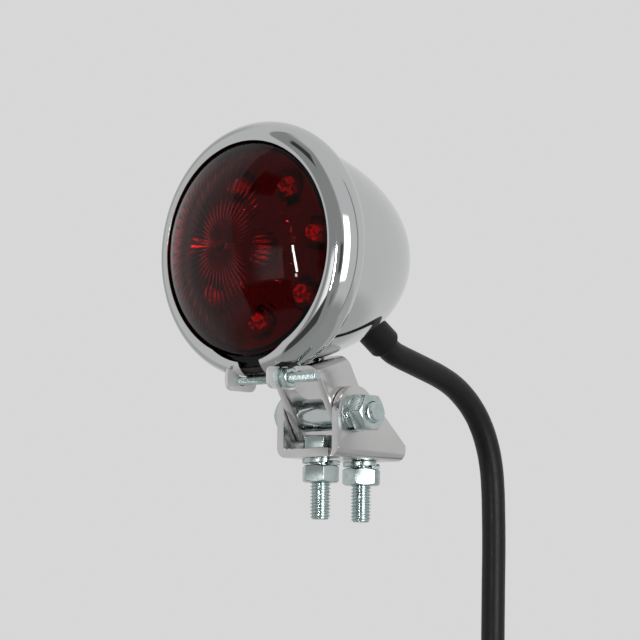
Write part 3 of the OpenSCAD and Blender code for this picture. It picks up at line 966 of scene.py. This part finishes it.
    def floor(self) -> None:
        """Lay a plain pale floor well below the part."""
        clear_selection()
        bpy.ops.mesh.primitive_plane_add(size=self.floor_size, location=(0, 0, self.floor_z * MM))
        obj = bpy.context.object
        obj.name = obj.data.name = "studio_floor"
        obj.data.materials.append(PAPER.build())
        obj.visible_glossy = False


@dataclass
class Lead:
    """Grommet, sleeve and the three wires that come out of its end."""

    exit: Place = (0.0, 19.0, 35.5)
    dip: float = 32.0
    grommet_r: float = 4.9
    grommet_lip: float = 0.5
    grommet_face: Point = (3.95, -0.05)
    grommet_round: float = 0.35
    grommet_in: float = 14.0
    sleeve_r: float = 3.6
    wire_r: float = 0.9
    wire_spread: float = 2.2
    wire_len: float = 22.0
    sway: tuple[Point, ...] = ((0.0, 0.0), (6.0, 0.1), (13.0, 0.3), (22.0, 0.0))
    strands: int = 6
    strand_r: float = 0.23
    twist: float = 200.0
    tip_r: float = 0.6
    tip_len: float = 7.0
    tip_in: float = 0.3
    route: tuple[Point, ...] = (
        (19, 35.5), (22.2, 33.5), (26, 32.3), (32, 30.8), (38, 29.3), (44, 27.7), (50, 25.5), (55, 22.7),
        (60, 18.7), (64, 13.9), (67, 8.3), (69, 2.1), (70, -4.5), (70.5, -12.5), (70.8, -22.5),
        (70.8, -33.5), (70.8, -45.5), (70.8, -57.5))

    def tube(self, name: str, points: Sequence[Place], radius: float) -> Thing:
        """Draw a round tube on one smooth open curve.

        Args:
            name: name of the object.
            points: places in mm that it goes through.
            radius: its radius in mm.

        Returns:
            The curve object.
        """
        data = bpy.data.curves.new(name, "CURVE")
        data.dimensions, data.bevel_depth, data.bevel_resolution = "3D", radius * MM, 8
        data.use_fill_caps, data.resolution_u = True, 8
        spline = data.splines.new("BEZIER")
        spline.bezier_points.add(len(points) - 1)
        for knot, point in zip(spline.bezier_points, points):
            knot.co = Vector(point) * MM
            knot.handle_left_type = knot.handle_right_type = "AUTO"
        obj = bpy.data.objects.new(name, data)
        bpy.context.scene.collection.objects.link(obj)
        return obj

    def wires(self) -> list[Thing]:
        """Make the three wires, which spread a little on their way down, and their twisted tips.

        Returns:
            The wires and the tips.
        """
        end_y, end_z = self.route[-1]
        kinds = (("wire_end_yellow", Slot.WIRE_YELLOW, WIRE_YELLOW, "wire_tail"),
                 ("wire_end_red", Slot.WIRE_RED, WIRE_RED, "wire_brake"),
                 ("wire_end_black", Slot.WIRE_BLACK, WIRE_BLACK, "wire_earth"))
        made, tips = [], []
        for i, (name, slot, finish, node) in enumerate(kinds):
            a = math.radians(90 + 360 * i / len(kinds))
            x, y = self.wire_spread * math.cos(a), end_y + self.wire_spread * math.sin(a)
            points = [(x * (1 + s), end_y + (y - end_y) * (1 + s), end_z - d) for d, s in self.sway]
            wire = self.tube(name, points, self.wire_r)
            take_up(wire)
            bpy.ops.object.convert(target="MESH")
            made.append(fit_piece(mend(wire), Body.LAMP, slot, finish.build(), node, angle=40))
            tips += self.tip(x, y, end_z - self.wire_len)
        tip = joined(tips, "wire_tips_twisted")
        made.append(fit_piece(tip, Body.LAMP, Slot.TINNED, TINNED.build(), "wire_tips", angle=50))
        return made

    def tip(self, x: float, y: float, z: float) -> list[Thing]:
        """Twist the strands below the end of a wire.

        Args:
            x: place of the wire.
            y: place of the wire.
            z: height of the wire's end.

        Returns:
            The strands, one object each.
        """
        made = []
        for k in range(self.strands):
            clear_selection()
            bpy.ops.mesh.primitive_circle_add(vertices=10, radius=self.strand_r * MM,
                                              location=((self.tip_r - self.strand_r) * MM, 0, 0),
                                              rotation=(math.pi / 2, 0, 0))
            strand = bpy.context.object
            bpy.ops.object.transform_apply(location=True, rotation=True, scale=True)
            wound(strand, self.twist, -self.tip_len, 24)
            bpy.ops.mesh.fill_holes(sides=0)
            mend(strand)
            made.append(set_down(strand, (x, y, z + self.tip_in), UP, spoke(360 * k / self.strands)))
        return made

    def build(self) -> None:
        sleeve = self.tube("lead_sleeve", [(0, y, z) for y, z in self.route], self.sleeve_r)
        fit_piece(sleeve, Body.LAMP, Slot.SLEEVE, SLEEVE.build(), "cable_sleeve", angle=None)
        ends = self.wires()

    def grommet(self, dome: Thing) -> None:
        """Turn the grommet and trim it to the dome.

        Args:
            dome: solid of the space inside the housing's outer wall, which is used up.
        """
        r, lip = self.grommet_r, self.grommet_lip
        outline = [(0, self.grommet_face[1]), self.grommet_face, (r - lip, 0), (r, lip),
                   (r, self.grommet_in), (0, self.grommet_in)]
        obj = turned("lead_grommet", soften(outline, self.grommet_round, False), False, 72)
        dip = math.radians(self.dip)
        set_down(obj, self.exit, (0, -math.cos(dip), math.sin(dip)), RIGHT)
        combine(obj, dome, Blend.REMOVE)
        fit_piece(obj, Body.LAMP, Slot.RUBBER, RUBBER.build(), "cable_grommet")


@dataclass
class Shell:
    """Spun housing, split trim ring and the screw that draws the ring together."""

    dome_r: float = 34.0
    dome_len: float = 59.5
    dome_c: float = 41.3
    rim_f: float = 33.0
    wall: float = 1.2
    lip_r: float = 31.397
    crown_f: float = 35.6
    front: Point = (6.2, 7.171)
    rear_r: float = 34.067
    rear: Point = (3.53, 4.767)
    rear_start: float = 6.0
    sheet: float = 1.0
    edge_round: float = 0.3
    split: float = 4.1
    split_z: Point = (12.0, 38.8)
    lip_cut: float = 1.7
    lip_cut_half: float = 14.0
    ear_in: float = 7.5
    ear_out: float = 8.6
    ear_y: Point = (-43.1, -30.9)
    ear_z: Point = (18.0, 27.5)
    ear_round: float = 2.5
    ear_slope: Point = (2.4, 23.1)
    ear_top: float = 35.597
    notch_x: Point = (11.6, 14.5)
    notch_y: Point = (-40.2, -40.8)
    notch_z: Point = (17.4, 25.0)
    notch_rear: float = -20.0
    reach: float = 20.0
    far: float = 60.0
    pinch: Place = (0.0, -37.0, 21.2)
    pinch_hole: float = 1.7
    pinch_head: Point = (2.8, 2.6)
    pinch_cross: Point = (3.0, 0.75)
    pinch_start: float = -9.4
    pinch_end: float = 22.1
    pinch_tip: float = 0.45
    pinch_washer: Point = (3.4, 0.8)
    creep: float = 1.45

    def ellipse(self, shrink: float, end_f: float, steps: int) -> list[Point]:
        """Profile of the dome from its apex to a place on it.

        Args:
            shrink: how far inside the outer wall it lies.
            end_f: place where it stops.
            steps: pieces of the curve.

        Returns:
            Radius and place of each point.
        """
        r, half = self.dome_r - shrink, self.dome_len - shrink
        stop = math.degrees(math.asin((end_f - self.dome_c) / half))
        return arc((0, self.dome_c), (r, half), -90, stop, steps)

    def envelope(self) -> Thing:
        """Solid of all that lies inside the outer wall of the dome."""
        profile = [*self.ellipse(0, self.rim_f, 64), (0, self.rim_f)]
        return on_lamp(turned("envelope", profile, False, 160))

    def housing(self) -> None:
        """Turn the housing as one shell with a plain rim."""
        outer = self.ellipse(0, self.rim_f, 72)
        inner = self.ellipse(self.wall, self.rim_f, 48)
        obj = on_lamp(turned("housing_dome", outer + inner[::-1], False, 192))
        fit_piece(obj, Body.LAMP, Slot.CHROME, CHROME_SPUN.build(), "housing", angle=40)

    def ear(self, side: int) -> Thing:
        """Clamp ear on one side, with round lower corners, trimmed to the ring's channel.

        Args:
            side: 1 for the right ear, -1 for the left.

        Returns:
            The closed solid.
        """
        (front, back), (low, high), r = self.ear_y, self.ear_z, self.ear_round
        outline = [(front + self.ear_slope[0], high), (front, self.ear_slope[1]),
                   *arc((front + r, low + r), (r, r), 180, 270, 8),
                   *arc((back - r, low + r), (r, r), 270, 360, 8), (back, high)]
        obj = slab("ear", outline, self.ear_in, self.ear_out)
        set_down(obj, CENTRE, RIGHT, REAR)
        top, far = self.ear_top, self.far
        core = on_lamp(turned("core", [(0, 0), (top, 0), (top, far), (0, far)], False, 160))
        combine(obj, core, Blend.REMOVE)
        if side < 0:
            obj.scale = (-1, 1, 1)
            take_up(obj)
            bpy.ops.object.transform_apply(location=False, rotation=False, scale=True)
            mend(obj)
        return obj

    def crept(self, obj: Thing) -> Thing:
        """Turn the ring about the lamp's axis, so that its split lies between the ears.

        Args:
            obj: the ring.

        Returns:
            The same object.
        """
        a = -math.asin(self.creep / self.crown_f)
        s, c = math.sin(a), math.cos(a)
        return set_down(obj, (-AXIS_Z * s, 0, AXIS_Z * (1 - c)), (s, 0, c), (c, 0, -s))

    def slid(self, obj: Thing) -> Thing:
        """Slide a piece of the clamp sideways by as much as the split has crept from the middle."""
        return set_down(obj, (self.creep, 0, 0), UP, RIGHT)

    def ring(self) -> None:
        """Turn the channel, split it below and notch it."""
        lip, crown = self.lip_r, self.crown_f
        inner = (self.front[0] - self.sheet, self.front[1] - self.sheet)
        rear_in = (self.rear[0] - self.sheet, self.rear[1] - self.sheet)
        profile = [*arc((lip, crown), self.front, 90, 0, 40),
                   *arc((self.rear_r, crown), (self.rear[0], -self.rear[1]), self.rear_start, 90, 20),
                   *arc((self.rear_r, crown), (rear_in[0], -rear_in[1]), 90, self.rear_start, 14),
                   *arc((lip, crown), inner, 0, 90, 28)]
        obj = on_lamp(turned("trim_ring_split", soften(profile, self.edge_round, True), True, 224))
        deep = lip + self.lip_cut - math.sqrt(lip ** 2 - self.lip_cut_half ** 2)
        r = (self.lip_cut_half ** 2 + deep ** 2) / (2 * deep)
        relief = turned("relief", [(0, 0), (r, 0), (r, self.reach), (0, self.reach)], False, 160)
        set_down(relief, (0, -crown, AXIS_Z - lip - self.lip_cut + r), FRONT, RIGHT)
        combine(obj, relief, Blend.REMOVE)
        gap = block("gap", (-self.split, self.split), (-self.far, self.notch_rear), self.split_z)
        combine(obj, gap, Blend.REMOVE)
        for side, end, front in zip((-1, 1), self.notch_x, self.notch_y):
            x = sorted((side * self.ear_out, side * end))
            notch = block("notch", (x[0], x[1]), (front, self.notch_rear), self.notch_z)
            combine(obj, notch, Blend.REMOVE)
        self.crept(mend(obj))
        fit_piece(obj, Body.LAMP, Slot.CHROME, CHROME_SPUN.build(), "trim_ring", angle=38)

    def ears(self) -> None:
        """Make the two ears welded to the ends of the ring, with the hole of the pinch screw."""
        pair = joined([self.ear(1), self.ear(-1)], "clamp_ears_welded")
        r, reach = self.pinch_hole, self.reach
        hole = turned("hole", [(0, -reach), (r, -reach), (r, reach), (0, reach)], False, 40)
        combine(pair, set_down(hole, self.pinch, RIGHT, UP), Blend.REMOVE)
        self.slid(mend(pair))
        fit_piece(pair, Body.LAMP, Slot.CHROME, CHROME_EAR.build(), angle=38)

    def pinch_set(self, maker: Fastener) -> None:
        """Make the pinch screw, its washer and its nut.

        Args:
            maker: maker of the fasteners.
        """
        zinc = ZINC.build()
        head = maker.pan_head("pinch_screw_threaded", *self.pinch_head, self.pinch_cross)
        set_down(head, (-self.ear_out, 0, 0), LEFT, UP)
        rod = maker.rod(M3, self.pinch_start, self.pinch_end, self.pinch_tip)
        screw = combine(head, set_down(rod, CENTRE, RIGHT, UP), Blend.UNITE)
        outer, thick = self.pinch_washer
        washer = maker.washer("pinch_washer_flat", self.pinch_hole, outer, thick)
        set_down(washer, (self.ear_out, 0, 0), RIGHT, UP)
        nut = set_down(maker.nut("pinch_nut_hex", M3), (self.ear_out + thick, 0, 0), RIGHT, UP)
        for obj, node in ((screw, "pinch_screw"), (washer, "pinch_washer"), (nut, "pinch_nut")):
            self.slid(set_down(obj, self.pinch, UP, RIGHT))
            fit_piece(obj, Body.LAMP, Slot.ZINC, zinc, node)

    def build(self, maker: Fastener) -> None:
        """Make the housing, the ring and the clamp.

        Args:
            maker: maker of the fasteners.
        """
        self.housing()
        self.ring()
        self.ears()
        self.pinch_set(maker)


@dataclass
class Lamp:
    """Lens and what lies behind it."""

    edge_r: float = 31.2
    ball_r: float = 43.693
    ball_f: float = 11.4
    wall: float = 2.2
    inner_r: float = 28.897
    flange_r: float = 34.197
    flange_f: Point = (38.2, 40.4)
    dish: tuple[Point, ...] = ((0, 29.6), (28.1, 29.6), (30.3, 34.8), (34.2, 34.8), (34.2, 35.8),
                               (28.9, 35.8), (26.7, 34.2), (0, 34.2))
    # Outline of the gasket: the part inside r = 34.3 is the gasket itself; its skirt round the dome's rim
    # is a dark sheet standing in for the shade seen through the ring's split.
    gasket: tuple[Point, ...] = ((28.9, 35.8), (34.3, 35.8), (34.3, 33.1), (35.9, 33.1), (35.9, 38.2),
                                 (35.0, 40.2), (34.3, 40.2), (34.3, 38.2), (28.9, 38.2))
    gasket_round: float = 0.3
    bowls: int = 7
    bowl_phase: float = -92.0
    bowl_ring: float = 20.5
    bowl_r: float = 5.8
    bowl_f: float = 36.74
    flutes: int = 48
    flute_depth: float = 0.34
    flute_span: Point = (2.5, 27.0)
    flute_press: Place = (0.6, 1.0, 0.6)
    flute_near: Point = (0.45, 0.001)

    def lens(self) -> None:
        """Turn one flute's share of the lens, press the flute into its back, and copy it round."""
        tip = math.degrees(math.acos(self.edge_r / self.ball_r))
        inside = self.ball_r - self.wall
        tip_in = math.degrees(math.acos(self.inner_r / inside))
        outer = arc((0, self.ball_f), (self.ball_r,) * 2, 90, tip, 36)
        inner = arc((0, self.ball_f), (inside,) * 2, tip_in, 90, 36)
        low, high = self.flange_f
        flange = [(self.edge_r, high), (self.flange_r, high), (self.flange_r, low), (self.inner_r, low)]
        obj = drawn_line("lens_smoked", upright(outer + flange + inner))
        share, columns = 2 * math.pi / self.flutes, len(self.flute_press) + 1
        bpy.ops.mesh.spin(steps=columns, angle=share, center=CENTRE, axis=UP)
        bpy.ops.mesh.select_all(action="SELECT")
        bpy.ops.mesh.remove_doubles(threshold=WELD)
        for column, press in enumerate(self.flute_press, 1):
            self.pick_flute(obj, column * share / columns, inside)
            bpy.ops.transform.translate(value=(0, 0, press * self.flute_depth * MM))
        bpy.ops.mesh.select_all(action="SELECT")
        bpy.ops.mesh.spin(steps=self.flutes, angle=2 * math.pi, dupli=True, center=CENTRE, axis=UP)
        on_lamp(mend(obj))
        fit_piece(obj, Body.LAMP, Slot.LENS, SMOKED.build(), "lens", angle=35)

    def pick_flute(self, obj: Thing, angle: float, inside: float) -> None:
        """Select the points of the lens's back that lie at one angle.

        Args:
            obj: the share of the lens, in edit mode.
            angle: angle about the axis in radians, either way round.
            inside: radius of the ball that the back lies on.
        """
        bpy.ops.mesh.select_all(action="DESELECT")
        bpy.ops.object.mode_set(mode="OBJECT")
        for vertex in obj.data.vertices:
            x, y, z = (v / MM for v in vertex.co)
            radius = math.hypot(x, y)
            on_back = abs(math.hypot(radius, z - self.ball_f) - inside) < self.flute_near[0]
            vertex.select = (on_back and self.flute_span[0] < radius < self.flute_span[1]
                             and abs(abs(math.atan2(y, x)) - angle) < self.flute_near[1])
        bpy.ops.object.mode_set(mode="EDIT")

    def reflector(self) -> None:
        """Turn the dish and press a round bowl for each diode into it, one of them in the middle."""
        obj = turned("reflector_bowls", self.dish, False, 128)
        middle = Vector((0, 0, self.bowl_f))
        turns = [spoke(self.bowl_phase + 360 * i / self.bowls) for i in range(self.bowls)]
        for place in [middle, *(middle + Vector(turn) * self.bowl_ring for turn in turns)]:
            clear_selection()
            bpy.ops.mesh.primitive_uv_sphere_add(segments=40, ring_count=24, radius=self.bowl_r * MM,
                                                 location=place * MM)
            combine(obj, bpy.context.object, Blend.REMOVE)
        mend(on_lamp(obj))
        fit_piece(obj, Body.LAMP, Slot.BRIGHT, BRIGHT.build(), "reflector", angle=30)

    def build(self, nodes: dict[str, Thing]) -> None:
        """Make the lens and dress the CAD nodes behind it.

        Args:
            nodes: CAD nodes by name.
        """
        self.lens()
        self.reflector()
        # The gasket with its skirt, a dark sheet that stands in for shade at the ring's split.
        outline = soften(self.gasket, self.gasket_round, True)
        shade_skirted_gasket = on_lamp(turned("lens_gasket_and_shade_skirt", outline, True, 128))
        fit_piece(shade_skirted_gasket, Body.LAMP, Slot.RUBBER, GASKET.build(), "lens_gasket", angle=30)
        dress = {"leds": DIODE_WITH_PAINTED_GLINT, "led_board": LAMINATE, "bracket_nuts": ZINC, "board_screws": ZINC,
                 "board_resistors": BLACK, "lead_terminal": IVORY, "inner_leads": WIRE_BLACK}
        for name, finish in dress.items():
            node = nodes[name]
            node.data.materials.clear()
            node.data.materials.append(finish.build())
            LOG.info("%s: CAD node dressed in %s", name, finish.name)


@dataclass
class Bracket:
    """Lower and upper bracket, the spacer between the legs and the bolt that they tilt on."""

    pivot: Place = (0.0, -7.0, 12.9)
    seat: Place = (0.0, -15.0, 28.1)
    seat_slope: float = 15.7
    seat_slide: float = -0.385
    seat_pitch: float = 9.0
    plate: float = 2.5
    spacer: Point = (3.08, 4.8)
    spacer_half: float = 6.7
    spacer_round: float = 0.3
    flat: float = 0.5
    ease: Point = (0.3, 40.0)
    bolt_head: Point = (-16.0, -12.0)
    bolt_thread: Point = (-12.5, 20.0)
    bolt_tip: float = 0.7
    washer_x: float = 12.0
    washer_sweep: float = 346.0
    washer_split: float = 157.0
    nut_x: float = 13.4
    screw_head: Point = (3.6, 1.9)
    screw_cross: Point = (3.6, 0.9)
    screw_thread: Point = (-8.85, 0.6)
    screw_tip: float = 0.4

    def strip(self, source: Thing, name: str) -> Thing:
        """Copy a bent strip, clean its faces and ease its edges.

        Args:
            source: CAD node of the bracket.
            name: name of the copy.

        Returns:
            The finished copy.
        """
        obj = copied(source, name)
        obj.parent = None
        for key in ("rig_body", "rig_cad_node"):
            if key in obj:
                del obj[key]
        open_up(obj)
        bpy.ops.mesh.customdata_custom_splitnormals_clear()
        bpy.ops.mesh.dissolve_limited(angle_limit=math.radians(self.flat))
        ease_edges(obj, *self.ease, 3)
        return obj

    def pivot_set(self, maker: Fastener) -> None:
        """Make the pivot bolt, its split washer, its nut and the spacer.

        Args:
            maker: maker of the fasteners.
        """
        zinc = ZINC.build()
        head = maker.hexagon("pivot_bolt_hex", M6.flats, *self.bolt_head, True, False)
        bolt = combine(head, maker.rod(M6, *self.bolt_thread, self.bolt_tip), Blend.UNITE)
        washer = maker.spring_washer("pivot_washer_split", 0.0, self.washer_sweep)
        set_down(washer, (0, 0, self.washer_x), UP, spoke(self.washer_split))
        nut = set_down(maker.nut("pivot_nut_hex", M6), (0, 0, self.nut_x), UP, RIGHT)
        for obj, node in ((bolt, "pivot_bolt"), (washer, "pivot_spring_washer"), (nut, "pivot_nut")):
            fit_piece(set_down(obj, self.pivot, RIGHT, UP), Body.BASE, Slot.ZINC, zinc, node)
        (inner, outer), h = self.spacer, self.spacer_half
        wall = soften([(inner, -h), (outer, -h), (outer, h), (inner, h)], self.spacer_round, True)
        tube = set_down(turned("pivot_spacer_tube", wall, True), self.pivot, RIGHT, UP)
        fit_piece(tube, Body.LAMP, Slot.CHROME, TUBE.build(), "pivot_spacer")

    def seat_screws(self, maker: Fastener) -> None:
        """Make the two screws that hold the upper bracket to the dome.

        Args:
            maker: maker of the fasteners.
        """
        slope = math.radians(self.seat_slope)
        along = Vector((0, math.cos(slope), math.sin(slope)))
        up = Vector((0, -math.sin(slope), math.cos(slope)))
        made = []
        for end in (-0.5, 0.5):
            head = maker.pan_head("seat_screw", *self.screw_head, self.screw_cross)
            screw = combine(head, maker.rod(M4, *self.screw_thread, self.screw_tip), Blend.UNITE)
            slide = self.seat_slide + end * self.seat_pitch
            place = Vector(self.seat) + along * slide - up * self.plate
            made.append(set_down(screw, tuple(place), tuple(-up), RIGHT))
        pair = joined(made, "seat_screws_cross")
        fit_piece(pair, Body.LAMP, Slot.ZINC, ZINC.build(), "bracket_screws")

    def build(self, nodes: dict[str, Thing], maker: Fastener) -> None:
        """Make the brackets and what holds them together.

        Args:
            nodes: CAD nodes by name.
            maker: maker of the fasteners.
        """
        chrome = CHROME_SHEET.build()
        lower = self.strip(nodes["lower_bracket"], "lower_bracket_bent")
        fit_piece(lower, Body.BASE, Slot.CHROME, chrome, "lower_bracket", angle=35)
        upper = self.strip(nodes["upper_bracket"], "upper_bracket_bent")
        fit_piece(upper, Body.LAMP, Slot.CHROME, chrome, "upper_bracket", angle=35)
        self.pivot_set(maker)
        self.seat_screws(maker)


@dataclass
class Mounting:
    """The two studs, their open spring washers and nuts under the lower bracket."""

    places: Point = (-9.0, 9.0)
    turns: Point = (-10.0, 25.0)
    head_turns: Point = (-12.0, -12.0)
    head: Point = (2.5, 6.5)
    thread: Point = (-18.0, 3.0)
    tip: float = 0.8
    washer_rise: float = 0.8
    washer_sweep: float = 340.0
    washer_z: float = -2.2
    nut_z: float = -7.2

    def build(self, maker: Fastener) -> None:
        """Make the fasteners once and copy them to both places.

        Args:
            maker: maker of the fasteners.
        """
        zinc = ZINC.build()
        head = maker.hexagon("stud", M6.flats, *self.head, False, True)
        stud = combine(head, maker.rod(M6, *self.thread, self.tip), Blend.UNITE)
        washer = maker.spring_washer("coil", self.washer_rise, self.washer_sweep)
        groups = ((stud, 0.0, self.head_turns, "mounting_bolts_hex", "mounting_bolts"),
                  (washer, self.washer_z, self.turns, "mounting_washers_open", "mounting_spring_washers"),
                  (maker.nut("nut", M6), self.nut_z, self.turns, "mounting_nuts_hex", "mounting_nuts"))
        for shape, z, turns, name, node in groups:
            pair = [set_down(copied(shape, name), (0, y, z), UP, spoke(turn))
                    for y, turn in zip(self.places, turns)]
            bpy.data.objects.remove(shape)
            fit_piece(joined(pair, name), Body.BASE, Slot.ZINC, zinc, node)


def main() -> None:
    """Build the studio and the part's sub-assemblies in order."""
    logging.basicConfig(level=logging.INFO, format="%(name)s: %(message)s")
    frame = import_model()
    bpy.context.scene.view_settings.view_transform = "Standard"
    studio, lead, shell, maker = Studio(), Lead(), Shell(), Fastener()
    studio.camera()
    lead.build()
    studio.world()
    studio.floor()
    shell.build(maker)
    lead.grommet(shell.envelope())
    Lamp().build(frame["nodes"])
    Bracket().build(frame["nodes"], maker)
    Mounting().build(maker)
    clear_selection()


if __name__ == "__main__":
    main()
